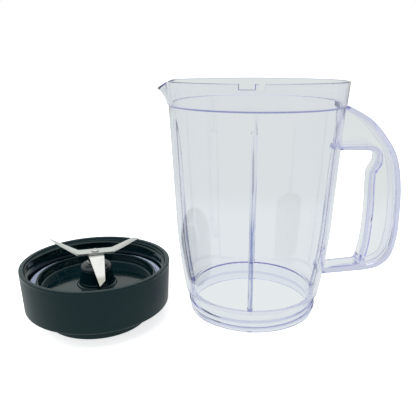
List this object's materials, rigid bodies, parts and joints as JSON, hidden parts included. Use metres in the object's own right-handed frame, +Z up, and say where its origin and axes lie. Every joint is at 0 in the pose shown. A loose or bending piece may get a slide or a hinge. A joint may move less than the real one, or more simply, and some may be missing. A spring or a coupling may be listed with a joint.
{
  "type": "blender jug with blade base",
  "caption": "Clear tapered blender jug with handle, lip and threaded neck, beside its black screw-on blade base with bent steel blades on a sealed bearing.",
  "frame": {"origin": "on the surface that both pieces stand on, below the middle of the bounding box of the pair", "axes": "+X from the blade base towards the jug and its handle, +Y to the back, +Z up along the jug and blade axes"},
  "size_m": [0.277, 0.1366, 0.1705],
  "materials": {
    "black_plastic": "satin",
    "cap_black": "gloss",
    "clear_plastic": "clear, polished",
    "blade_steel": "brushed",
    "shaft_steel": "turned",
    "sintered_bronze": "sintered, oiled",
    "brass": "turned",
    "pale_silicone": "satin silicone",
    "black_rubber": "matte",
    "felt": "felt"
  },
  "bodies": {
    "blade_base": {"base_housing": "black_plastic", "bearing_cap": "cap_black", "shaft_seal": "black_rubber", "upper_bushing": "sintered_bronze", "grease_felt": "felt", "lower_bushing": "sintered_bronze", "bearing_sleeve": "shaft_steel", "sleeve_o_ring": "black_rubber", "nut_washer": "shaft_steel", "bearing_nut": "shaft_steel"},
    "rotor": {"drive_shaft": "shaft_steel", "upper_blade": "blade_steel", "lower_blade": "blade_steel", "hub_spacer": "blade_steel", "seal_washer": "blade_steel", "thrust_washer": "blade_steel", "retaining_ring": "blade_steel", "coupling_insert": "brass", "drive_coupling": "black_rubber"},
    "seal": {"sealing_ring": "pale_silicone"},
    "jug": {"jar_body": "clear_plastic", "jar_handle": "clear_plastic"}
  },
  "joints": [
    {"name": "blade_spin", "type": "hinge", "parent": "blade_base", "child": "rotor", "pos_m": [-0.08468, -0.01446, 0.03], "axis": [0, 0, 1], "continuous": true},
    {"name": "seal_lift", "type": "slide", "parent": "blade_base", "child": "seal", "axis": [0, 0, 1], "range_m": [0, 0.04]},
    {"name": "jar_lift", "type": "slide", "parent": "blade_base", "child": "jug", "axis": [0, 0, 1], "range_m": [0, 0.07]}
  ]
}
